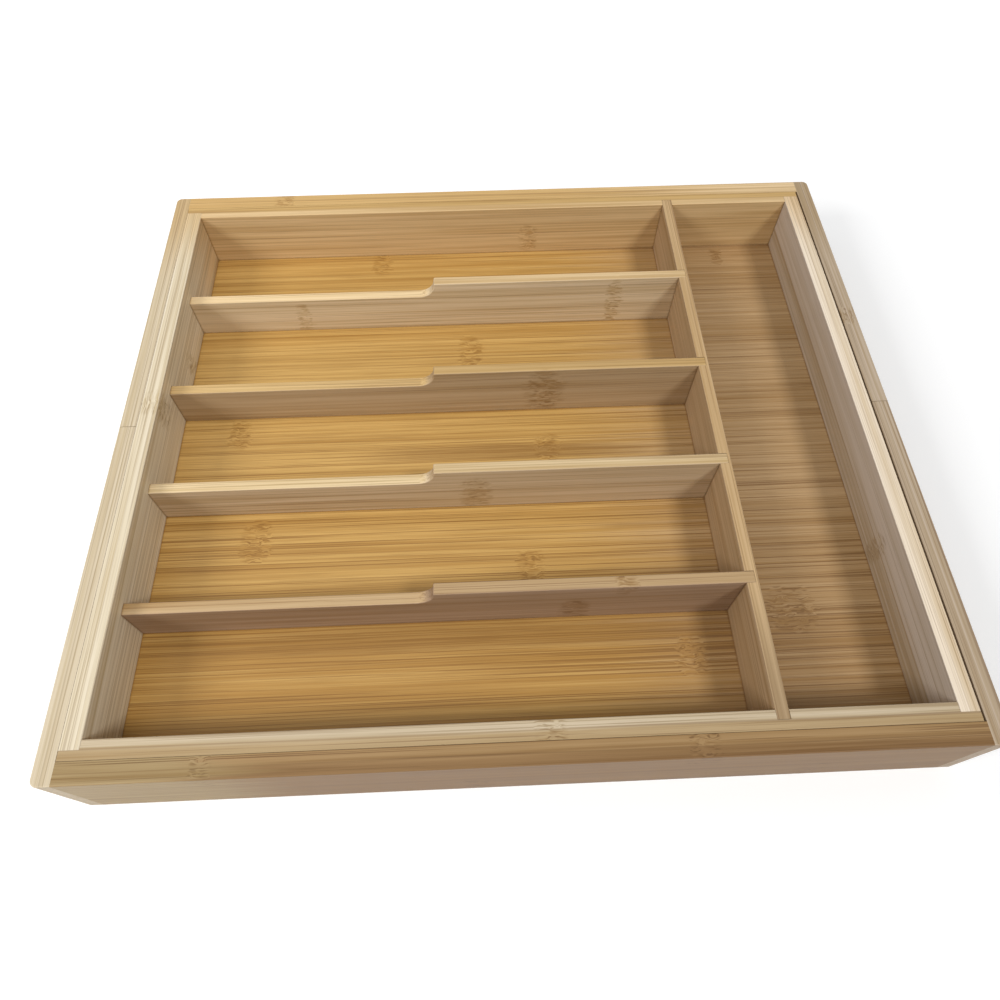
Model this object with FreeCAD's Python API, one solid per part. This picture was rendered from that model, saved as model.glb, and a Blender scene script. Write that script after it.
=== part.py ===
import FreeCAD, Part
import os

# Expandable bamboo cutlery tray. A main tray with six compartments stands between two
# U-shaped side trays, which slide out to the rear and to the front.
# Millimetres. X runs along the cutlery, Y towards the rear, Z up.
# The origin is on the table, under the middle of the closed tray.

# Main tray, clear sizes inside
inner_width = 342.0
inner_depth = 295.0
well_depth = 32.0
long_bay_width = 67.0

# Middle of each cross divider, as a share of the clear depth from the front
divider_places = (0.1925, 0.3983, 0.5973, 0.8088)

# Board thicknesses
main_wall = 8.0
rail_board = 8.0
end_board = 9.0
main_floor_board = 4.0
side_floor_board = 4.0
cross_board = 5.5
long_board = 5.5

# Levels below the main floor
foot_reveal = 2.0
floor_gap = 0.3
floor_lip = 2.7

# Lowered left part of each cross divider
notch_length = 135.0
notch_radius = 8.0
notch_riser = 0.1
step_corner = 0.8

# Housings and grooves cut into the boards
floor_groove = 4.0
groove_play = 0.2
left_wall_housing = 2.5
end_wall_housing = 4.0
corner_lap = 4.0
long_divider_web = 1.5
housing_play = 0.1

# Sliding fit between the main tray and the side trays
left_gap = 0.15
right_gap = 0.95
closing_gap = 0.15
rail_seam = 0.2
slide_travel = 95.0

# Guide slot in the main side walls, and the pins that run in it
slot_depth = 3.0
slot_rise = 16.0
pin_radius = 3.0
pin_reach = 2.6
pin_setback = 12.0
pin_tip_chamfer = 0.6
slot_clearance = 0.2
stop_clearance = 0.3

# Dowels in the corner joints
dowel_radius = 2.0
dowel_cover = 3.0
lap_cover = 1.0
dowel_reach = 14.0
dowel_end_play = 0.5
dowel_inset = 8.0
glue_gap = 0.05

# Rounding of the edges that are felt
edge_round = 0.5
corner_round = 3.0

# Small overrun that carries a cut past a face
overrun = 1.0

# Heights, from the table up
side_floor_low = foot_reveal
side_floor_top = side_floor_low + side_floor_board
main_low = side_floor_top + floor_gap
main_floor_low = main_low + floor_lip
main_floor_top = main_floor_low + main_floor_board
rim = main_floor_top + well_depth
low_top = rim - notch_radius - notch_riser - step_corner
slot_height = main_floor_top + slot_rise

# Places along X
rail_inner = (inner_width + 2 * main_wall + left_gap + right_gap) / 2
rail_outer = rail_inner + rail_board
main_left = left_gap - rail_inner
well_left = main_left + main_wall
well_right = well_left + inner_width
main_right = well_right + main_wall
long_right = well_right - long_bay_width
long_left = long_right - long_board
cross_right = long_right - long_divider_web

# Places along Y, from the middle outwards
well_end = inner_depth / 2
main_end = well_end + main_wall
side_wall_end = main_end - corner_lap
end_inner = main_end + closing_gap
end_outer = end_inner + end_board
rail_start = rail_seam / 2
pin_place = rail_start + pin_setback
slot_end = pin_place + slide_travel + pin_radius + stop_clearance

# Front faces of the cross dividers
cross_fronts = [share * inner_depth - well_end - cross_board / 2 for share in divider_places]


def block(x, y, z):
    """Box between a low and a high value on each axis, given in either order."""
    low = [min(pair) for pair in (x, y, z)]
    high = [max(pair) for pair in (x, y, z)]
    size = [b - a for a, b in zip(low, high)]
    return Part.makeBox(*size, FreeCAD.Vector(*low))


def rod_along_x(radius, x_from, x_to, y, z):
    """Round bar along X between two places."""
    low = min(x_from, x_to)
    return Part.makeCylinder(radius, abs(x_to - x_from), FreeCAD.Vector(low, y, z), FreeCAD.Vector(1, 0, 0))


def rod_along_y(radius, y_from, y_to, x, z):
    """Round bar along Y between two places."""
    low = min(y_from, y_to)
    return Part.makeCylinder(radius, abs(y_to - y_from), FreeCAD.Vector(x, low, z), FreeCAD.Vector(0, 1, 0))


def runs_along(edge, axis):
    """True for an edge that is parallel to the given axis letter."""
    box = edge.BoundBox
    spans = {"X": box.XLength, "Y": box.YLength, "Z": box.ZLength}
    return all(span < edge_round for letter, span in spans.items() if letter != axis)


def on_face(edge, axis, face):
    """True for an edge that lies on a face square to the given axis letter, at that place."""
    box = edge.BoundBox
    low, high = {"X": (box.XMin, box.XMax), "Y": (box.YMin, box.YMax)}[axis]
    return abs(low - face) < edge_round / 2 and abs(high - face) < edge_round / 2


def ease_top(board, axis, mating_face=None):
    """Round the long top edges of a board that runs along the given axis.

    The edge on mating_face closes a joint line or a sliding gap, so it stays square.
    """
    top = board.BoundBox.ZMax
    edges = [e for e in board.Edges if runs_along(e, axis) and e.BoundBox.ZMin > top - edge_round / 2]
    long_edges = [e for e in edges if e.Length > 2 * main_wall]
    if mating_face is not None:
        across = {"X": "Y", "Y": "X"}[axis]
        long_edges = [e for e in long_edges if not on_face(e, across, mating_face)]
    return board.makeFillet(edge_round, long_edges)


def dowel_heights(floor_top):
    """Heights of the two dowels in a corner joint."""
    return [floor_top + dowel_inset, rim - dowel_inset]


def main_corner_rods(radius, play):
    """Dowels of the main tray, or their holes, from the laps of the end walls into the side walls' ends.

    play shortens both ends of each rod.
    """
    rods = []
    for end in (-1, 1):
        into_lap = end * (main_end - lap_cover - play)
        into_side = end * (side_wall_end - dowel_reach + play)
        for x in (main_left + main_wall / 2, main_right - main_wall / 2):
            rods += [rod_along_y(radius, into_lap, into_side, x, z) for z in dowel_heights(main_floor_top)]
    return rods


def side_corner_rods(radius, play, end):
    """Dowels of a side tray, or their holes, from the rails into the ends of the end wall.

    end is 1 at the rear and -1 at the front; play shortens both ends of each rod.
    """
    y = end * (end_inner + end_board / 2)
    rods = []
    for side in (-1, 1):
        into_rail = side * (rail_inner + rail_board - dowel_cover - play)
        into_end = side * (rail_inner - dowel_reach + play)
        rods += [rod_along_x(radius, into_rail, into_end, y, z) for z in dowel_heights(side_floor_top)]
    return rods


def guide_slot(outer_face, side):
    """Stopped slot with round ends, cut into the outer face of a main side wall."""
    half_height = pin_radius + slot_clearance
    arc_centre = slot_end - half_height
    x = (outer_face - side * slot_depth, outer_face + side * overrun)
    slot = block(x, (-arc_centre, arc_centre), (slot_height - half_height, slot_height + half_height))
    for y in (-arc_centre, arc_centre):
        slot = slot.fuse(rod_along_x(half_height, x[0], x[1], y, slot_height))
    return slot


def cross_housing(y, x, top):
    """Housing for one end of a cross divider."""
    return block(x, (y, y + cross_board), (main_floor_top, top))


def main_side_wall(inner_face, outer_face, side):
    """Left or right wall of the main tray, between the laps of the front and rear walls."""
    wall = block((inner_face, outer_face), (-side_wall_end, side_wall_end), (main_low, rim))
    wall = ease_top(wall, "Y", outer_face)
    groove_end = well_end + floor_groove
    groove_x = (inner_face - side * overrun, inner_face + side * floor_groove)
    wall = wall.cut(block(groove_x, (-groove_end, groove_end), (main_floor_low, main_floor_top)))
    wall = wall.cut(guide_slot(outer_face, side))
    return wall.cut(main_corner_rods(dowel_radius + glue_gap, 0))


def main_left_wall():
    """Left wall with stopped housings for the low ends of the cross dividers."""
    wall = main_side_wall(well_left, main_left, -1)
    housing_x = (well_left - left_wall_housing, well_left + overrun)
    for y in cross_fronts:
        wall = wall.cut(cross_housing(y, housing_x, low_top))
    return wall


def main_end_wall(end):
    """Front or rear wall of the main tray: its outer half laps over the ends of the side walls."""
    wall = block((well_left, well_right), (end * well_end, end * main_end), (main_low, rim))
    lap = block((main_left, main_right), (end * side_wall_end, end * main_end), (main_low, rim))
    wall = ease_top(wall.fuse(lap).removeSplitter(), "X", end * main_end)
    inside = end * (well_end - overrun)
    groove_x = (well_left - overrun, well_right + overrun)
    groove_y = (inside, end * (well_end + floor_groove))
    wall = wall.cut(block(groove_x, groove_y, (main_floor_low, main_floor_top)))
    housing_y = (inside, end * (well_end + end_wall_housing))
    wall = wall.cut(block((long_left, long_right), housing_y, (main_floor_top, rim + overrun)))
    return wall.cut(main_corner_rods(dowel_radius + glue_gap, 0))


def main_floor():
    """Floor panel, held in grooves on all four sides."""
    tongue = floor_groove - groove_play
    x = (well_left - tongue, well_right + tongue)
    return block(x, (-well_end - tongue, well_end + tongue), (main_floor_low, main_floor_top))


def long_divider():
    """Divider from front to rear, housed in both end walls and cut for the cross dividers."""
    reach = well_end + end_wall_housing - housing_play
    board = ease_top(block((long_left, long_right), (-reach, reach), (main_floor_top, rim)), "Y")
    housing_x = (long_left - overrun, cross_right)
    for y in cross_fronts:
        board = board.cut(cross_housing(y, housing_x, rim + overrun))
    return board


def cross_outline(y):
    """Outline of a cross divider: low on the left, a cove up to the full height on the right."""
    left = well_left - left_wall_housing + housing_play
    right = cross_right - housing_play
    riser_x = well_left + notch_length
    cove_x = riser_x - notch_radius
    cove_top = low_top + notch_radius
    corner_x = riser_x + step_corner
    corner_low = rim - step_corner
    diagonal = 0.5 ** 0.5

    def at(x, z):
        return FreeCAD.Vector(x, y, z)

    cove_middle = at(cove_x + notch_radius * diagonal, cove_top - notch_radius * diagonal)
    corner_middle = at(corner_x - step_corner * diagonal, corner_low + step_corner * diagonal)
    edges = [
        Part.makeLine(at(left, main_floor_top), at(left, low_top)),
        Part.makeLine(at(left, low_top), at(cove_x, low_top)),
        Part.Arc(at(cove_x, low_top), cove_middle, at(riser_x, cove_top)).toShape(),
        Part.makeLine(at(riser_x, cove_top), at(riser_x, corner_low)),
        Part.Arc(at(riser_x, corner_low), corner_middle, at(corner_x, rim)).toShape(),
        Part.makeLine(at(corner_x, rim), at(right, rim)),
        Part.makeLine(at(right, rim), at(right, main_floor_top)),
        Part.makeLine(at(right, main_floor_top), at(left, main_floor_top)),
    ]
    return Part.Face(Part.Wire(edges))


def cross_divider(y):
    """Cross divider with its front face at y, eased along the whole of its stepped top."""
    board = cross_outline(y).extrude(FreeCAD.Vector(0, cross_board, 0))
    top_edges = [
        e for e in board.Edges
        if e.BoundBox.YLength < edge_round / 2 and e.BoundBox.ZMin > low_top - edge_round / 2
    ]
    return board.makeFillet(edge_round, top_edges)


def rail(end, side):
    """Side rail of a side tray, from the seam in the middle to the rounded outer corner."""
    board = block((side * rail_inner, side * rail_outer), (end * rail_start, end * end_outer), (0, rim))
    corner = FreeCAD.Vector(side * rail_outer, end * end_outer, rim / 2)
    uprights = [e for e in board.Edges if runs_along(e, "Z")]
    upright = [e for e in uprights if e.distToShape(Part.Vertex(corner))[0] < overrun]
    board = board.makeFillet(corner_round, upright)
    top_edges = [e for e in board.Edges if e.BoundBox.ZMin > rim - edge_round / 2]
    top_edges = [e for e in top_edges if not on_face(e, "X", side * rail_inner)]
    top_edges = [e for e in top_edges if not on_face(e, "Y", end * rail_start)]
    board = board.makeFillet(edge_round, top_edges)
    groove_x = (side * (rail_inner - overrun), side * (rail_inner + floor_groove))
    groove_y = (end * (rail_start - overrun), end * (end_inner + floor_groove))
    board = board.cut(block(groove_x, groove_y, (side_floor_low, side_floor_top)))
    hole_x = (side * (rail_inner - overrun), side * (rail_outer + overrun))
    board = board.cut(rod_along_x(pin_radius + glue_gap, hole_x[0], hole_x[1], end * pin_place, slot_height))
    return board.cut(side_corner_rods(dowel_radius + glue_gap, 0, end))


def side_end_wall(end):
    """Outer end wall of a side tray, between its two rails."""
    wall = block((-rail_inner, rail_inner), (end * end_inner, end * end_outer), (0, rim))
    wall = ease_top(wall, "X", end * end_inner)
    groove_x = (-rail_inner - overrun, rail_inner + overrun)
    groove_y = (end * (end_inner - overrun), end * (end_inner + floor_groove))
    wall = wall.cut(block(groove_x, groove_y, (side_floor_low, side_floor_top)))
    return wall.cut(side_corner_rods(dowel_radius + glue_gap, 0, end))


def side_floor(end):
    """Floor panel of a side tray, held in grooves on three sides and free under the main tray."""
    tongue = floor_groove - groove_play
    x = (-rail_inner - tongue, rail_inner + tongue)
    return block(x, (end * rail_start, end * (end_inner + tongue)), (side_floor_low, side_floor_top))


def guide_pin(end, side):
    """Dowel pin through a rail, flush outside, with its chamfered tip in the guide slot."""
    tip = side * (rail_inner - pin_reach)
    pin = rod_along_x(pin_radius, side * rail_outer, tip, end * pin_place, slot_height)
    tip_ring = [e for e in pin.Edges if abs(e.CenterOfMass.x - tip) < overrun]
    return pin.makeChamfer(pin_tip_chamfer, tip_ring)


def side_tray(name, end):
    """Nodes of one side tray, by name."""
    return {
        name + "_end_wall": side_end_wall(end),
        name + "_left_rail": rail(end, -1),
        name + "_right_rail": rail(end, 1),
        name + "_floor": side_floor(end),
        name + "_left_guide_pin": guide_pin(end, -1),
        name + "_right_guide_pin": guide_pin(end, 1),
        name + "_corner_dowels": Part.makeCompound(side_corner_rods(dowel_radius, dowel_end_play, end)),
    }


def main_tray():
    """Nodes of the main tray, by name."""
    nodes = {
        "main_left_wall": main_left_wall(),
        "main_right_wall": main_side_wall(well_right, main_right, 1),
        "main_front_wall": main_end_wall(-1),
        "main_rear_wall": main_end_wall(1),
        "main_floor": main_floor(),
        "long_divider": long_divider(),
        "main_corner_dowels": Part.makeCompound(main_corner_rods(dowel_radius, dowel_end_play)),
    }
    for number, y in enumerate(cross_fronts, start=1):
        nodes["cross_divider_" + str(number)] = cross_divider(y)
    return nodes


def main():
    os.makedirs("parts", exist_ok=True)
    nodes = {**main_tray(), **side_tray("rear", 1), **side_tray("front", -1)}
    for name, shape in nodes.items():
        shape.exportStep("parts/" + name + ".step")
    print("closed size", 2 * rail_outer, 2 * end_outer, rim)


main()
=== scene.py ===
import math

import bmesh
import bpy
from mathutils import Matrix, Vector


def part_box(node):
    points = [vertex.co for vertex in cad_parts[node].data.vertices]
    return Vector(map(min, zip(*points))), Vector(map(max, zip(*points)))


# Looks of the expandable bamboo cutlery tray
# Every finish is worked out in millimetres along, across and through its own board.

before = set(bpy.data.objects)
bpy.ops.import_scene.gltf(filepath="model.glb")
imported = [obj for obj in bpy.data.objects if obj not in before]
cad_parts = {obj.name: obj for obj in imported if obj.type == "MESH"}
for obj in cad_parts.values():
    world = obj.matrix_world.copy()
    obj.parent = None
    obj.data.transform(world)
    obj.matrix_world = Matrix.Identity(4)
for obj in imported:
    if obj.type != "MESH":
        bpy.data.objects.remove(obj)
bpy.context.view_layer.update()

MM = 0.001
X, Y, Z = 0, 1, 2

# Camera, at the photograph's viewing angle
CAMERA_PLACE_MM = (-13.2, -218.0, 341.9)
CAMERA_TURN_DEG = (29.78, -0.02, -2.43)
CAMERA_LENS_MM = 27.04
CAMERA_SENSOR_MM = 36.0
CAMERA_NEAR_M = 0.01

# Light: an even surround, and level panels
# A panel has its place, width and depth in metres and its power in watts.
SURROUND_LIGHT = 0.26
SURROUND_TINT = (0.96, 0.98, 1.0)
WHITE = (1.0, 1.0, 1.0)
RIGHT_PANEL = ((3.7, -3.4, 7.0), 2.0, 2.0, 445.0)
LEFT_PANEL = ((-1.5, -0.75, 1.25), 1.0, 0.7, 31.0)
REAR_PANEL = ((-0.22, 0.12, 0.55), 0.4, 0.4, 0.7)

# Studio floor: how far it reaches, its grey, and how its glow grows between two distances from its middle
STUDIO_FLOOR_M = 6.0
STUDIO_FLOOR_GREY = (0.86, 0.86, 0.86, 1.0)
NEAR_GLOW_M = (0.2, 0.7)
NEAR_GLOW = (0.2, 0.6)
FAR_GLOW_M = (1.5, 4.0)
FAR_GLOW = (0.0, 0.4)

# How a board lies: the axes along its grain, across its strips and through its thickness
LENGTHWISE = (X, Z, Y)
DEPTHWISE = (Y, Z, X)
FLAT = (X, Y, Z)

# Bamboo strips, as they are pressed into boards
FLOOR_STRIP_MM = 20.5
WALL_STRIP_MM = 21.0
DIVIDER_STRIP_MM = 34.0
GLUE_LINE_MM = 0.3

# How far the strips are shifted across their board, as a share of a strip
FLOOR_SHIFT = -0.23
SIDE_FLOOR_SHIFT = 0.4
WALL_SHIFT = 0.4
RIGHT_WALL_SHIFT = -0.21
DIVIDER_SHIFT = -0.32

# Plies, given as where the first one starts and how thick each is
# WHOLE is a ply thicker than any floor or dowel. The plies of other boards reach a skin past their faces.
WHOLE = (-30.0, 80.0)
SKIN_MM = 0.1

# Between two plies: a broken dark or pale line, and a wavy turn from one colour to the other
PLY_LINE_MM = 0.55
PLY_LINE_BANDS = (0.30, 0.55)
PLY_WAVE = 0.4
PLY_TURN = (0.7, 1.3)

# Fibres, as the length and width of one streak
BAND_MM = (260.0, 6.0)
STREAK_MM = (150.0, 1.6)
LINE_MM = (210.0, 0.58)
HAIR_MM = (30.0, 0.28)

# Fibres wander a little, and those of each strip start at another place
# A pace is how fast a noise changes for each millimetre.
DRIFT_MM = 0.6
DRIFT_PACE = (0.006, 0.04)
STRIP_START_MM = 700.0
NOISE_ROUGHNESS = 0.55

# Noise below the first value starts to show a dark fibre, and below the second shows it whole
LINE_NOISE = (0.45, 0.33)
HAIR_NOISE = (0.50, 0.34)
DASH_NOISE = (0.48, 0.32)

# Shares of dark fibres: the dashes of a knuckle, the least and most in a painted shadow, and the most
# anywhere
DASH_SHARE = 0.55
PAINTED_SHADOW_SHARE = (0.2, 0.75)
MOST_DARK_SHARE = 0.85

# Knuckles, where the bamboo cane had its joints
KNUCKLE_STROKE_MM = (9.0, 0.8)
KNUCKLE_STROKE_TONE = 0.7
KNUCKLE_WAVE_MM = 2.2
KNUCKLE_WAVE_PACE = (0.13, 0.2, 0.2)

# Ragged ends of knuckles and of painted shadows, and how far out they fade
RAGGED_MM = 4.0
RAGGED_PACE = (0.14, 0.33)
PATCH_REACH = 1.3

# Where tone and lines change across a floor: from the first place on, and in full at the second
# The deeper tone towards the front of a floor is painted shade
FRONT_SHADE_MM = (0.0, -150.0)
REAR_TONE_MM = (70.0, 130.0)
FRONT_LINES_MM = (60.0, -150.0)

# Where a board turns to the colour of its far end, the turn wanders this far either way
FAR_TURN_MM = 40.0

# How far a surface faces along an axis where it starts to be, and then wholly is, a top, an end or an edge
TOP_FACING = (0.55, 0.95)
END_FACING = (0.80, 0.98)
EDGE_FACING = (0.99, 0.80)

# Deeper end grain, painted shade in the corners between boards that also stands for glue and dust
# in the joints, and paler rounded edges, partly wear and partly a painted highlight
END_GRAIN_SHARE = 0.35
CREVICE_MM = 1.6
CREVICE_SAMPLES = 8
CREVICE_OPEN = (0.85, 0.45)
CREVICE_SHADE_SHARE = 0.8
WEAR_AND_HIGHLIGHT_SHARE = 0.35

# Satin lacquer, with the grain felt through it
LACQUER_ROUGHNESS = (0.38, 0.62)
WORN_POLISH = 0.06
LACQUER_SPECULAR = 0.3
GRAIN_BUMP = 0.35
GRAIN_DEPTH_M = 0.00012
LINE_RISE = 0.6
HAIR_RISE = 0.4
GLUE_SINK = 0.5

# Tones of a board against its plain colour, for red, green and blue
PALEST_TONE = (1.15, 1.19, 1.30)
DEEPEST_TONE = (0.76, 0.68, 0.54)
FIBRE_TONE = (0.46, 0.37, 0.28)

# Colours of the boards, with their plies, far ends and tops, where the tone is plain
# Each cross divider has the colour of its faces and that of its top, paler from sanding and partly painted
# light.
FLOOR_GOLD = (0.535, 0.322, 0.096)
FLOOR_BROWN = (0.445, 0.285, 0.135)
SIDE_FLOOR_GOLD = (0.64, 0.39, 0.14)
REAR_WALL_INNER = (0.66, 0.46, 0.23)
REAR_WALL_OUTER = (0.56, 0.36, 0.135)
FRONT_WALL_INNER = (0.52, 0.41, 0.26)
FRONT_WALL_OUTER = (0.41, 0.285, 0.142)
REAR_END_GOLD = (0.60, 0.385, 0.15)
REAR_END_PALE = (0.73, 0.53, 0.29)
FRONT_END_TAN = (0.312, 0.187, 0.074)
FRONT_END_BROWN = (0.23, 0.127, 0.046)
FRONT_END_PALE = (0.34, 0.235, 0.105)
LEFT_WALL_CREAM = (0.70, 0.60, 0.43)
LEFT_WALL_GOLD = (0.62, 0.45, 0.24)
RIGHT_WALL_TAN = (0.48, 0.388, 0.29)
RIGHT_WALL_CREAM = (0.785, 0.65, 0.475)
RIGHT_WALL_GOLD = (0.66, 0.47, 0.26)
LEFT_RAIL_CREAM = (0.60, 0.495, 0.335)
LEFT_RAIL_GOLD = (0.55, 0.39, 0.20)
RIGHT_RAIL_GREY = (0.475, 0.37, 0.255)
RIGHT_RAIL_BROWN = (0.385, 0.275, 0.155)
LONG_DIVIDER_TAN = (0.43, 0.292, 0.16)
LONG_DIVIDER_TOP = (0.62, 0.43, 0.222)
LONG_DIVIDER_FRONT = (0.40, 0.275, 0.145)
CROSS_DIVIDER_TANS = {
    1: ((0.365, 0.242, 0.152), (0.53, 0.365, 0.19)),
    2: ((0.575, 0.43, 0.265), (0.725, 0.555, 0.315)),
    3: ((0.45, 0.315, 0.175), (0.59, 0.395, 0.165)),
    4: ((0.67, 0.52, 0.325), (0.755, 0.555, 0.30)),
}
DOWEL_TAN = (0.55, 0.38, 0.20)

# Far ends: the colour that a board turns to, and the two places along it between which it turns
MAIN_FLOOR_FAR = (FLOOR_BROWN, 20.0, 130.0)
LEFT_WALL_FAR = (LEFT_WALL_GOLD, 100.0, 155.0)
RIGHT_WALL_FAR = (RIGHT_WALL_GOLD, 100.0, 160.0)
REAR_END_FAR = (REAR_END_PALE, 40.0, 180.0)
FRONT_END_FAR = (FRONT_END_PALE, -90.0, -135.0)
LEFT_RAIL_FAR = (LEFT_RAIL_GOLD, 90.0, 160.0)
RIGHT_RAIL_FAR = (RIGHT_RAIL_BROWN, 85.0, 145.0)
LONG_DIVIDER_FAR = (LONG_DIVIDER_FRONT, -75.0, -150.0)

# Painted shadows of the cross dividers on the floors: place along, place across, half length, half width
FLOOR_PAINTED_SHADOWS = ((-35, -100.5, 150, 8), (0, -1, 80, 5))

# Finish of floors, walls, right rails, the right wall, the front end wall and dividers
# It says how wide a strip is, the plain tone, how much strips, bands, streaks and knuckles change the tone,
# how dark fibres crowd in a ply, the shares of lines, hairs, glue and ply lines, how much deeper the front
# of a floor is as painted shade, how much deeper its rear is, and where painted shadows lie as dark
# streaks.
FLOOR_LOOK = {
    "strip": FLOOR_STRIP_MM, "tone": 0.45, "strips": 0.18, "bands": 0.50, "streaks": 0.75,
    "knuckle": 0.24, "crowd": 0.02, "lines": 0.50, "front_lines": 1.05, "hairs": 0.30,
    "glue": 0.35, "ply": 0.0, "pale_ply": 0.0, "front": 0.48, "rear": 0.19,
    "painted_shadows": FLOOR_PAINTED_SHADOWS,
}
WALL_LOOK = {
    "strip": WALL_STRIP_MM, "tone": 0.48, "strips": 0.10, "bands": 0.50, "streaks": 0.75,
    "knuckle": 0.20, "crowd": 0.04, "lines": 0.48, "front_lines": 0.48, "hairs": 0.16,
    "glue": 0.35, "ply": 0.40, "pale_ply": 0.0, "front": 0.0, "rear": 0.0,
    "painted_shadows": (),
}
RAIL_LOOK = {
    **WALL_LOOK, "streaks": 0.95, "lines": 0.62, "front_lines": 0.62, "ply": 0.0, "pale_ply": 0.85,
}
RIGHT_WALL_LOOK = {**WALL_LOOK, "strips": 0.28, "glue": 0.55}
FRONT_END_LOOK = {
    **WALL_LOOK, "bands": 0.65, "streaks": 1.05, "lines": 0.66, "front_lines": 0.66, "knuckle": 0.0,
}
DIVIDER_LOOK = {
    **WALL_LOOK, "strip": DIVIDER_STRIP_MM, "streaks": 0.85, "lines": 0.60, "front_lines": 0.60,
    "knuckle": 0.32,
}

# Seed of each board's strips and fibres
SEEDS = {
    "main_floor": 1.0, "rear_floor": 2.0, "front_floor": 3.0,
    "main_rear_wall": 4.0, "main_front_wall": 5.0, "main_left_wall": 6.0, "main_right_wall": 389.0,
    "rear_end_wall": 8.0, "front_end_wall": 9.0,
    "rear_left_rail": 10.0, "front_left_rail": 11.0, "rear_right_rail": 12.0, "front_right_rail": 13.0,
    "long_divider": 15.0,
    "cross_divider_1": 21.0, "cross_divider_2": 22.0, "cross_divider_3": 23.0, "cross_divider_4": 24.0,
    "dowel": 30.0,
}

# Knuckles of the boards: place along, place across, half length, half width
MAIN_FLOOR_KNUCKLES = (
    (-70, 139, 6, 9), (136, 138, 4, 7), (-18, 68, 7, 12), (-141, 15, 6, 10), (21, 1, 7, 9),
    (-125, -48, 8, 13), (8, -67, 7, 9), (78, -114, 7, 10), (128, -94, 12, 12),
)
SIDE_FLOOR_KNUCKLES = ((-90, 51, 7, 10), (60, 92, 6, 10), (20, -51, 7, 10), (-120, -92, 6, 10))
CROSS_DIVIDER_KNUCKLES = {
    1: ((47, 46, 5, 10), (26, 20, 7, 14)),
    2: ((-17, 25, 8, 15),),
    3: ((20, 28, 11, 17),),
    4: ((-111, 21, 4, 13), (64, 28, 5, 17)),
}
MAIN_REAR_KNUCKLES = ((19, 23, 6, 10),)
MAIN_FRONT_KNUCKLES = ((10, 40, 7, 9), (-95, 16, 6, 10))
MAIN_LEFT_KNUCKLES = ((60, 18, 6, 10), (14, 38, 8, 10))
MAIN_RIGHT_KNUCKLES = ((-70, 23, 6, 10),)
REAR_END_KNUCKLES = ((-123, 38, 7, 10), (72, 23, 6, 10), (10, 2, 6, 10))
FRONT_END_KNUCKLES = ((-124, 44, 4, 12), (68, 40, 7, 9), (-20, 12, 7, 10), (120, 14, 6, 10))
LEFT_RAIL_KNUCKLES = ((90, 23, 6, 10),)
RIGHT_RAIL_KNUCKLES = ((-60, 18, 6, 10), (56, 42, 6, 9))


def toned(colour, tone):
    """A colour with its red, green and blue each multiplied by their part of a tone."""
    return tuple(part * gain for part, gain in zip(colour, tone))


def shades(colour):
    """Palest, plain and deepest tone of a board from its plain colour."""
    return toned(colour, PALEST_TONE), colour, toned(colour, DEEPEST_TONE)


def fibre_brown(colour):
    """The dark fibres of a board of the given plain colour."""
    return toned(colour, FIBRE_TONE)


class Bench:
    """Adds linked nodes to one material or world.

    node gives the node, paced gives a list of output sockets, and every other helper gives one.
    """

    def __init__(self, tree):
        self.tree = tree
        self.tree.nodes.clear()

    def node(self, kind, inputs, **settings):
        made = self.tree.nodes.new(kind)
        for name, value in settings.items():
            setattr(made, name, value)
        for key, value in inputs.items():
            if isinstance(value, bpy.types.NodeSocket):
                self.tree.links.new(value, made.inputs[key])
            else:
                made.inputs[key].default_value = value
        return made

    def math(self, operation, *values):
        return self.node("ShaderNodeMath", dict(enumerate(values)), operation=operation).outputs[0]

    def vector(self, x, y, z):
        return self.node("ShaderNodeCombineXYZ", {0: x, 1: y, 2: z}).outputs[0]

    def noise(self, vector, detail):
        inputs = {"Vector": vector, "Scale": 1.0, "Detail": detail, "Roughness": NOISE_ROUGHNESS}
        return self.node("ShaderNodeTexNoise", inputs).outputs[0]

    def smooth(self, value, low, high):
        """0 at low, 1 at high, and a smooth change between them."""
        inputs = {"Value": value, "From Min": low, "From Max": high, "To Min": 0.0, "To Max": 1.0}
        return self.node("ShaderNodeMapRange", inputs, interpolation_type="SMOOTHSTEP").outputs[0]

    def span(self, value, low, high):
        """Stretches a value that runs from 0 to 1 over the given span."""
        inputs = {"Value": value, "From Min": 0.0, "From Max": 1.0, "To Min": low, "To Max": high}
        return self.node("ShaderNodeMapRange", inputs).outputs[0]

    def mix(self, share, first, second):
        made = self.node("ShaderNodeMix", {}, data_type="RGBA")
        for key, value in ((0, share), (6, first), (7, second)):
            if isinstance(value, bpy.types.NodeSocket):
                self.tree.links.new(value, made.inputs[key])
            else:
                made.inputs[key].default_value = (*value, 1.0) if isinstance(value, tuple) else value
        return made.outputs[2]

    def tones(self, value, colours):
        """Colour ramp through the given colours, evenly spaced."""
        made = self.node("ShaderNodeValToRGB", {0: value})
        elements = made.color_ramp.elements
        while len(elements) < len(colours):
            elements.new(0.5)
        for number, colour in enumerate(colours):
            elements[number].position = number / (len(colours) - 1)
            elements[number].color = (*colour, 1.0)
        return made.outputs[0]

    def paced(self, parts, paces):
        """Each part times its pace."""
        return [self.math("MULTIPLY", part, pace) for part, pace in zip(parts, paces)]


def board_places(bench, axes):
    """Places in millimetres along, across and through a board, from the object's own coordinates."""
    place = bench.node("ShaderNodeTexCoord", {}).outputs["Object"]
    inputs = {"Vector": place, "Scale": (1 / MM, 1 / MM, 1 / MM)}
    place = bench.node("ShaderNodeMapping", inputs).outputs[0]
    parts = bench.node("ShaderNodeSeparateXYZ", {0: place}).outputs
    return [parts[axis] for axis in axes]


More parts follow.
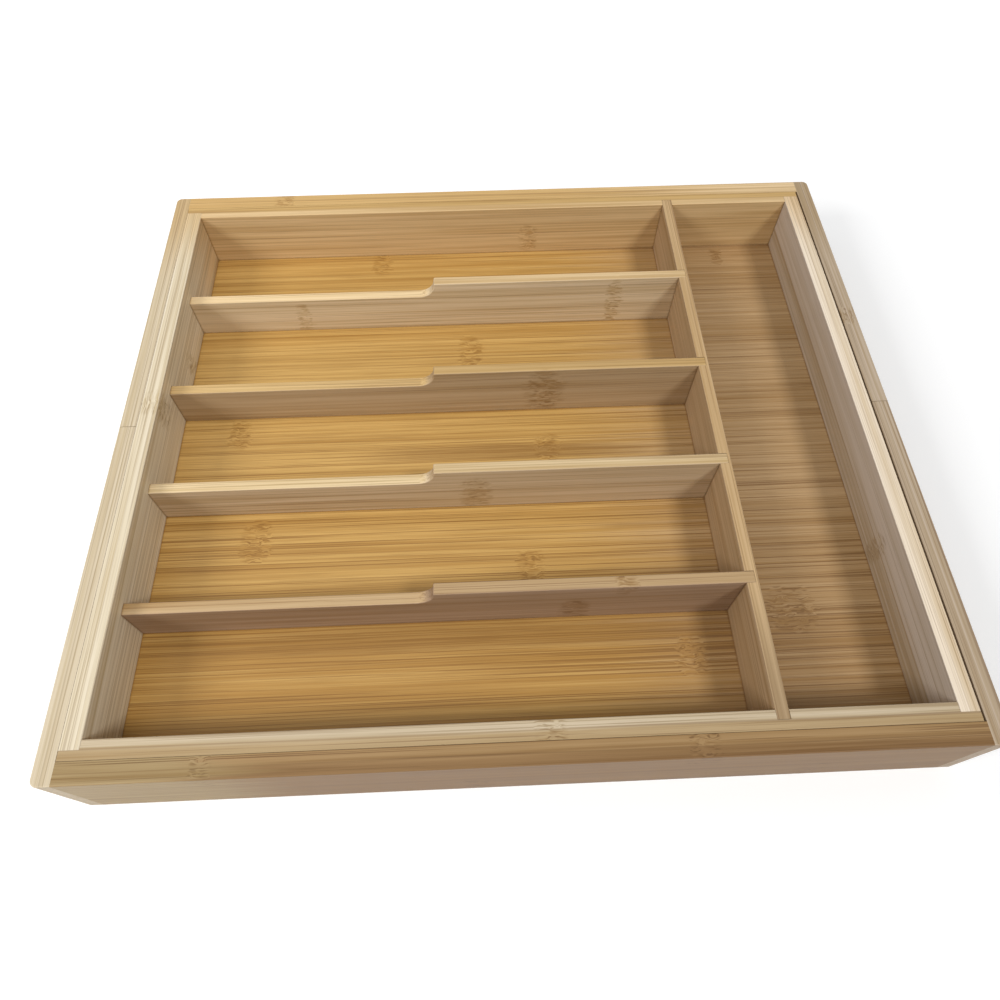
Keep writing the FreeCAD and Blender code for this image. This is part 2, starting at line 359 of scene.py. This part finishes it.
def patches(bench, along, across, places):
    """1 in the middle of each knuckle or painted shadow and 0 away from it, with ragged ends."""
    if not places:
        return 0.0
    slow = bench.paced((along, across), RAGGED_PACE)
    ragged = bench.noise(bench.vector(*slow, 0.0), 2.0)
    shifted = bench.math("ADD", along, bench.span(ragged, -RAGGED_MM, RAGGED_MM))
    total = 0.0
    for place_along, place_across, half_length, half_width in places:
        off_along = bench.math("SUBTRACT", shifted, place_along)
        off_along = bench.math("DIVIDE", off_along, half_length)
        off_across = bench.math("SUBTRACT", across, place_across)
        off_across = bench.math("DIVIDE", off_across, half_width)
        square = bench.math("MULTIPLY", off_along, off_along)
        fourth = bench.math("POWER", bench.math("ABSOLUTE", off_across), 4.0)
        reach = bench.math("ADD", square, fourth)
        total = bench.math("MAXIMUM", total, bench.smooth(reach, PATCH_REACH, 0.0))
    return total


def crevice_shade(bench):
    """Painted shade: 1 deep in the corners between two boards and 0 on open wood."""
    inputs = {"Distance": CREVICE_MM * MM}
    open_share = bench.node("ShaderNodeAmbientOcclusion", inputs, samples=CREVICE_SAMPLES).outputs["AO"]
    return bench.smooth(open_share, *CREVICE_OPEN)


def facing(bench):
    """How much the surface faces along each axis, whichever way."""
    normal = bench.node("ShaderNodeNewGeometry", {}).outputs["Normal"]
    size = bench.node("ShaderNodeVectorMath", {0: normal}, operation="ABSOLUTE").outputs[0]
    return bench.node("ShaderNodeSeparateXYZ", {0: size}).outputs


def rounded_edges(bench):
    """1 on the rounded edges of a board, where the surface faces along no axis, and 0 on its flats."""
    parts = facing(bench)
    largest = bench.math("MAXIMUM", bench.math("MAXIMUM", parts[X], parts[Y]), parts[Z])
    return bench.smooth(largest, *EDGE_FACING)


class Board:
    """One board's strips, plies, knuckles and fibres, as patterns on its bench.

    plies gives where the first ply starts and how thick each is.
    """

    def __init__(self, bench, axes, look, seed, plies, shift, knuckles):
        self.bench = bench
        self.along, self.across, self.through = board_places(bench, axes)
        first_ply, ply_mm = plies
        self.strip_mm = look["strip"]
        self.ply_joint = first_ply + ply_mm
        place = bench.math("ADD", bench.math("DIVIDE", self.across, self.strip_mm), shift)
        self.beside = bench.math("FRACT", place)
        self.deep = bench.math("DIVIDE", bench.math("SUBTRACT", self.through, first_ply), ply_mm)
        strip = bench.vector(bench.math("FLOOR", place), bench.math("FLOOR", self.deep), seed)
        self.luck = bench.node("ShaderNodeTexWhiteNoise", {"Vector": strip}).outputs[0]
        self.knuckle = patches(bench, self.along, self.across, knuckles)
        self.lay_fibres(seed)
        # Painted shadows: dark streaks on the floors where the cross dividers cast shade
        self.painted_shadow = patches(bench, self.along, self.bent, look["painted_shadows"])
        self.bands = self.fibres(BAND_MM, 1.0)
        self.streaks = self.fibres(STREAK_MM, 2.0)
        self.lines = self.fibres(LINE_MM, 1.0)
        self.hairs = self.fibres(HAIR_MM, 1.0)
        self.strokes = self.fibres(KNUCKLE_STROKE_MM, 1.0)

    def lay_fibres(self, seed):
        """Lets the fibres swerve at each knuckle and wander a little elsewhere."""
        bench = self.bench
        slow = bench.paced((self.along, self.across, self.through), KNUCKLE_WAVE_PACE)
        curl = bench.noise(bench.vector(*slow), 1.0)
        curl = bench.span(curl, -KNUCKLE_WAVE_MM, KNUCKLE_WAVE_MM)
        curl = bench.math("MULTIPLY", curl, self.knuckle)
        slow = bench.paced((self.along, self.across), DRIFT_PACE)
        drift = bench.noise(bench.vector(*slow, seed), 1.0)
        drift = bench.span(drift, -DRIFT_MM, DRIFT_MM)
        self.bent = bench.math("ADD", bench.math("ADD", self.across, curl), drift)
        self.sunk = bench.math("ADD", self.through, curl)
        self.run = bench.math("ADD", self.along, bench.math("MULTIPLY", self.luck, STRIP_START_MM))

    def fibres(self, size, detail):
        """Streaks of the given length and width that follow the fibres."""
        length, width = size
        sizes = ((self.run, length), (self.bent, width), (self.sunk, width))
        parts = [self.bench.math("DIVIDE", part, part_size) for part, part_size in sizes]
        return self.bench.noise(self.bench.vector(*parts), detail)


def wood_tone(board, look):
    """Tone of the wood: 0 is palest, a half is plain and 1 is deepest."""
    bench = board.bench
    # Deeper towards the front of a floor: painted shade
    front = bench.smooth(board.across, *FRONT_SHADE_MM)
    rear = bench.smooth(board.across, *REAR_TONE_MM)
    changes = (
        bench.span(board.luck, -look["strips"], look["strips"]),
        bench.span(board.bands, look["bands"], -look["bands"]),
        bench.span(board.streaks, look["streaks"], -look["streaks"]),
        bench.span(front, 0.0, look["front"]),
        bench.span(rear, 0.0, look["rear"]),
    )
    tone = look["tone"]
    for change in changes:
        tone = bench.math("ADD", tone, change)
    stroke_tone = bench.span(board.strokes, KNUCKLE_STROKE_TONE, -KNUCKLE_STROKE_TONE)
    stroke_tone = bench.math("ADD", stroke_tone, look["knuckle"])
    return bench.math("ADD", tone, bench.math("MULTIPLY", board.knuckle, stroke_tone))


def wood_colours(board, tone, colours, sanded_and_lit_top, far_end):
    """Colours of the wood and of its dark fibres: ply by ply, on a top of its own colour and towards a far
    end.

    On a board with a top colour, only that top turns towards the far end.
    """
    bench = board.bench
    wood = bench.tones(tone, shades(colours[0]))
    brown = fibre_brown(colours[0])
    turns = []
    if len(colours) > 1:
        wavy = bench.math("ADD", board.deep, bench.span(board.streaks, -PLY_WAVE, PLY_WAVE))
        turns.append((bench.smooth(wavy, *PLY_TURN), colours[1]))
    # Top colour: paler from sanding, and paler as painted light where the light falls on the top
    if sanded_and_lit_top:
        upward = bench.smooth(facing(bench)[Z], *TOP_FACING)
        turns.append((upward, sanded_and_lit_top))
    if far_end:
        end_colour, turn_from, turn_to = far_end
        wander = bench.math("ADD", board.along, bench.span(board.streaks, -FAR_TURN_MM, FAR_TURN_MM))
        turned = bench.smooth(wander, turn_from, turn_to)
        if sanded_and_lit_top:
            turned = bench.math("MULTIPLY", turned, upward)
        turns.append((turned, end_colour))
    for share, colour in turns:
        wood = bench.mix(share, wood, bench.tones(tone, shades(colour)))
        brown = bench.mix(share, brown, fibre_brown(colour))
    return wood, brown


def dark_fibre_and_shadow_share(board, look):
    """Share of dark fibres, which crowd towards the cane's outside and in knuckles, and of painted shadow.
    """
    bench = board.bench
    crowd = bench.span(bench.math("FRACT", board.deep), -look["crowd"], look["crowd"])
    thin = bench.smooth(bench.math("SUBTRACT", board.lines, crowd), *LINE_NOISE)
    in_front = bench.smooth(board.across, *FRONT_LINES_MM)
    thin = bench.math("MULTIPLY", thin, bench.span(in_front, look["lines"], look["front_lines"]))
    fine = bench.math("MULTIPLY", bench.smooth(board.hairs, *HAIR_NOISE), look["hairs"])
    dashes = bench.math("MULTIPLY", board.knuckle, DASH_SHARE)
    dashes = bench.math("MULTIPLY", dashes, bench.smooth(board.strokes, *DASH_NOISE))
    # Painted shadows, drawn as more dark fibres
    painted_shadow_fibres = bench.span(board.streaks, *PAINTED_SHADOW_SHARE)
    painted_shadow_fibres = bench.math("MULTIPLY", board.painted_shadow, painted_shadow_fibres)
    share = bench.math("ADD", bench.math("ADD", thin, fine), bench.math("ADD", dashes, painted_shadow_fibres))
    return bench.math("MINIMUM", share, MOST_DARK_SHARE)


def bamboo(name, axes, colours, look, plies=WHOLE, shift=0.0, knuckles=(), far_end=None, sanded_and_lit_top=None):
    """Laminated bamboo with strips, fibres, knuckles, glue lines and a satin lacquer.

    name is the board's, and finds its seed. colours has one colour for each ply. Knuckles are given
    as their place along and across, half their length and half their width. The colour for the top edge
    is partly that of a top paler from sanding and partly painted light, paler where light falls on it.
    far_end gives a colour that the board, or its top, turns to, and the two places along it between which
    it turns.
    """
    material = bpy.data.materials.new(name + "_bamboo")
    material.use_nodes = True
    bench = Bench(material.node_tree)
    board = Board(bench, axes, look, SEEDS[name], plies, shift, knuckles)
    palest = shades(colours[0])[0]
    wood, brown = wood_colours(board, wood_tone(board, look), colours, sanded_and_lit_top, far_end)
    wood = bench.mix(dark_fibre_and_shadow_share(board, look), wood, brown)

    # Glue lines between strips and between plies
    edge = bench.math("MINIMUM", board.beside, bench.math("SUBTRACT", 1.0, board.beside))
    glue = bench.smooth(edge, GLUE_LINE_MM / board.strip_mm, 0.0)
    wood = bench.mix(bench.math("MULTIPLY", glue, look["glue"]), wood, brown)
    if len(colours) > 1:
        off_joint = bench.math("ABSOLUTE", bench.math("SUBTRACT", board.through, board.ply_joint))
        joint = bench.smooth(off_joint, PLY_LINE_MM, 0.0)
        joint = bench.math("MULTIPLY", joint, bench.smooth(board.bands, *PLY_LINE_BANDS))
        wood = bench.mix(bench.math("MULTIPLY", joint, look["ply"]), wood, brown)
        wood = bench.mix(bench.math("MULTIPLY", joint, look["pale_ply"]), wood, palest)

    # Deeper end grain, painted shade in the corners that also stands for glue and dust,
    # and paler rounded edges, partly wear and partly a painted highlight
    end_grain = bench.smooth(facing(bench)[axes[0]], *END_FACING)
    wood = bench.mix(bench.math("MULTIPLY", end_grain, END_GRAIN_SHARE), wood, brown)
    wood = bench.mix(bench.math("MULTIPLY", crevice_shade(bench), CREVICE_SHADE_SHARE), wood, brown)
    # Rounded edges paler: partly wear, partly a painted highlight where the edges catch the light
    wear_and_highlight = rounded_edges(bench)
    wood = bench.mix(bench.math("MULTIPLY", wear_and_highlight, WEAR_AND_HIGHLIGHT_SHARE), wood, palest)

    # Satin lacquer, with the grain felt through it
    grain = bench.math("MULTIPLY", bench.math("ADD", board.hairs, board.streaks), 0.5)
    rough = bench.span(grain, *LACQUER_ROUGHNESS)
    rough = bench.math("SUBTRACT", rough, bench.math("MULTIPLY", wear_and_highlight, WORN_POLISH))
    height = bench.math("MULTIPLY", board.lines, LINE_RISE)
    height = bench.math("ADD", height, bench.math("MULTIPLY", board.hairs, HAIR_RISE))
    height = bench.math("SUBTRACT", height, bench.math("MULTIPLY", glue, GLUE_SINK))
    felt = {"Strength": GRAIN_BUMP, "Distance": GRAIN_DEPTH_M, "Height": height}
    bump = bench.node("ShaderNodeBump", felt).outputs[0]
    lacquer = {"Base Color": wood, "Roughness": rough, "Normal": bump}
    shader = bench.node("ShaderNodeBsdfPrincipled", lacquer)
    shader.inputs["Specular IOR Level"].default_value = LACQUER_SPECULAR
    bench.node("ShaderNodeOutputMaterial", {"Surface": shader.outputs[0]})
    return material


def dress(node, material):
    """Gives a CAD node its finish."""
    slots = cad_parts[node].data.materials
    slots.clear()
    slots.append(material)


def even_plies(node, axes, count):
    """Where the first of a board's plies starts and how thick each is, a skin past both faces."""
    low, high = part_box(node)
    through = axes[2]
    first_ply = low[through] / MM - SKIN_MM
    past_last = high[through] / MM + SKIN_MM
    return first_ply, (past_last - first_ply) / count


def floor(node, colour, shift, knuckles, far_end=None):
    """Flat floor panel of a single ply."""
    dress(node, bamboo(node, FLAT, (colour,), FLOOR_LOOK, WHOLE, shift, knuckles, far_end))


def wall(node, axes, colours, knuckles, far_end=None, look=WALL_LOOK, shift=WALL_SHIFT, sanded_and_lit_top=None):
    """Wall of two plies, the first towards the low end of the axis through it."""
    plies = even_plies(node, axes, len(colours))
    dress(node, bamboo(node, axes, colours, look, plies, shift, knuckles, far_end, sanded_and_lit_top))


def divider(node, axes, colour, sanded_and_lit_top, knuckles=(), far_end=None):
    """Divider of a single ply whose top edge has its own colour, paler from sanding and from painted light.
    """
    plies = even_plies(node, axes, 1)
    finish = bamboo(node, axes, (colour,), DIVIDER_LOOK, plies, DIVIDER_SHIFT, knuckles, far_end, sanded_and_lit_top)
    dress(node, finish)


def dress_floors():
    floor("main_floor", FLOOR_GOLD, FLOOR_SHIFT, MAIN_FLOOR_KNUCKLES, MAIN_FLOOR_FAR)
    for node in ("rear_floor", "front_floor"):
        floor(node, SIDE_FLOOR_GOLD, SIDE_FLOOR_SHIFT, SIDE_FLOOR_KNUCKLES)


def dress_main_walls():
    wall("main_rear_wall", LENGTHWISE, (REAR_WALL_INNER, REAR_WALL_OUTER), MAIN_REAR_KNUCKLES)
    wall("main_front_wall", LENGTHWISE, (FRONT_WALL_OUTER, FRONT_WALL_INNER), MAIN_FRONT_KNUCKLES)
    creams = (LEFT_WALL_CREAM, LEFT_WALL_CREAM)
    wall("main_left_wall", DEPTHWISE, creams, MAIN_LEFT_KNUCKLES, LEFT_WALL_FAR)
    tans = (RIGHT_WALL_TAN, RIGHT_WALL_TAN)
    wall(
        "main_right_wall", DEPTHWISE, tans, MAIN_RIGHT_KNUCKLES, RIGHT_WALL_FAR,
        look=RIGHT_WALL_LOOK, shift=RIGHT_WALL_SHIFT, sanded_and_lit_top=RIGHT_WALL_CREAM,
    )


def dress_side_trays():
    golds = (REAR_END_GOLD, REAR_END_GOLD)
    wall("rear_end_wall", LENGTHWISE, golds, REAR_END_KNUCKLES, REAR_END_FAR)
    browns = (FRONT_END_BROWN, FRONT_END_TAN)
    wall("front_end_wall", LENGTHWISE, browns, FRONT_END_KNUCKLES, FRONT_END_FAR, FRONT_END_LOOK)
    creams = (LEFT_RAIL_CREAM, LEFT_RAIL_CREAM)
    for node in ("rear_left_rail", "front_left_rail"):
        wall(node, DEPTHWISE, creams, LEFT_RAIL_KNUCKLES, LEFT_RAIL_FAR)
    greys = (RIGHT_RAIL_GREY, RIGHT_RAIL_GREY)
    for node in ("rear_right_rail", "front_right_rail"):
        wall(node, DEPTHWISE, greys, RIGHT_RAIL_KNUCKLES, RIGHT_RAIL_FAR, RAIL_LOOK)


def dress_dividers():
    divider("long_divider", DEPTHWISE, LONG_DIVIDER_TAN, LONG_DIVIDER_TOP, far_end=LONG_DIVIDER_FAR)
    for number, (colour, sanded_and_lit_top) in CROSS_DIVIDER_TANS.items():
        knuckles = CROSS_DIVIDER_KNUCKLES[number]
        divider("cross_divider_" + str(number), LENGTHWISE, colour, sanded_and_lit_top, knuckles)


def dress_dowels():
    stock = bamboo("dowel", LENGTHWISE, (DOWEL_TAN,), WALL_LOOK)
    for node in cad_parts:
        if node.endswith("dowels") or node.endswith("pin"):
            dress(node, stock)


def seen_rays(bench):
    """1 for rays from the camera and for those that gloss or glass sends on, and 0 for light."""
    path = bench.node("ShaderNodeLightPath", {}).outputs
    seen = bench.math("MAXIMUM", path["Is Camera Ray"], path["Is Glossy Ray"])
    return bench.math("MAXIMUM", seen, path["Is Transmission Ray"])


def studio_floor_material():
    """Pale floor that keeps the tray's shadow and runs out to white."""
    material = bpy.data.materials.new("studio_floor")
    material.use_nodes = True
    bench = Bench(material.node_tree)
    place = bench.node("ShaderNodeTexCoord", {}).outputs["Object"]
    away = bench.node("ShaderNodeVectorMath", {0: place}, operation="LENGTH").outputs["Value"]
    near = bench.span(bench.smooth(away, *NEAR_GLOW_M), *NEAR_GLOW)
    far = bench.span(bench.smooth(away, *FAR_GLOW_M), *FAR_GLOW)
    lift = bench.math("MULTIPLY", bench.math("ADD", near, far), seen_rays(bench))
    pale = bench.node("ShaderNodeBsdfDiffuse", {"Color": STUDIO_FLOOR_GREY}).outputs[0]
    glow = bench.node("ShaderNodeEmission", {"Strength": lift}).outputs[0]
    both = bench.node("ShaderNodeAddShader", {0: pale, 1: glow}).outputs[0]
    bench.node("ShaderNodeOutputMaterial", {"Surface": both})
    return material


def studio():
    """Pale floor and an even white surround."""
    shape = bmesh.new()
    bmesh.ops.create_grid(shape, x_segments=1, y_segments=1, size=STUDIO_FLOOR_M)
    mesh = bpy.data.meshes.new("studio_floor")
    shape.to_mesh(mesh)
    shape.free()
    mesh.materials.append(studio_floor_material())
    ground = bpy.data.objects.new("studio_floor", mesh)
    bpy.context.collection.objects.link(ground)
    world = bpy.data.worlds.new("studio")
    bpy.context.scene.world = world
    world.use_nodes = True
    bench = Bench(world.node_tree)
    seen = seen_rays(bench)
    strength = bench.span(seen, SURROUND_LIGHT, 1.0)
    colour = bench.mix(seen, SURROUND_TINT, WHITE)
    surround = bench.node("ShaderNodeBackground", {"Color": colour, "Strength": strength}).outputs[0]
    bench.node("ShaderNodeOutputWorld", {"Surface": surround})


def lamp(name, place, width, depth, power):
    """Soft panel of light that hangs level and shines down."""
    data = bpy.data.lights.new(name, "AREA")
    data.shape = "RECTANGLE"
    data.size = width
    data.size_y = depth
    data.energy = power
    made = bpy.data.objects.new(name, data)
    bpy.context.collection.objects.link(made)
    made.location = place
    made.visible_camera = False


def camera():
    data = bpy.data.cameras.new("camera")
    data.lens = CAMERA_LENS_MM
    data.sensor_width = CAMERA_SENSOR_MM
    data.clip_start = CAMERA_NEAR_M
    made = bpy.data.objects.new("camera", data)
    bpy.context.collection.objects.link(made)
    made.location = [value * MM for value in CAMERA_PLACE_MM]
    made.rotation_euler = [math.radians(angle) for angle in CAMERA_TURN_DEG]
    bpy.context.scene.camera = made


dress_floors()
dress_main_walls()
dress_side_trays()
dress_dividers()
dress_dowels()
studio()
lamp("right_panel", *RIGHT_PANEL)
lamp("left_panel", *LEFT_PANEL)
lamp("rear_panel", *REAR_PANEL)
camera()
bpy.context.scene.view_settings.view_transform = "Standard"
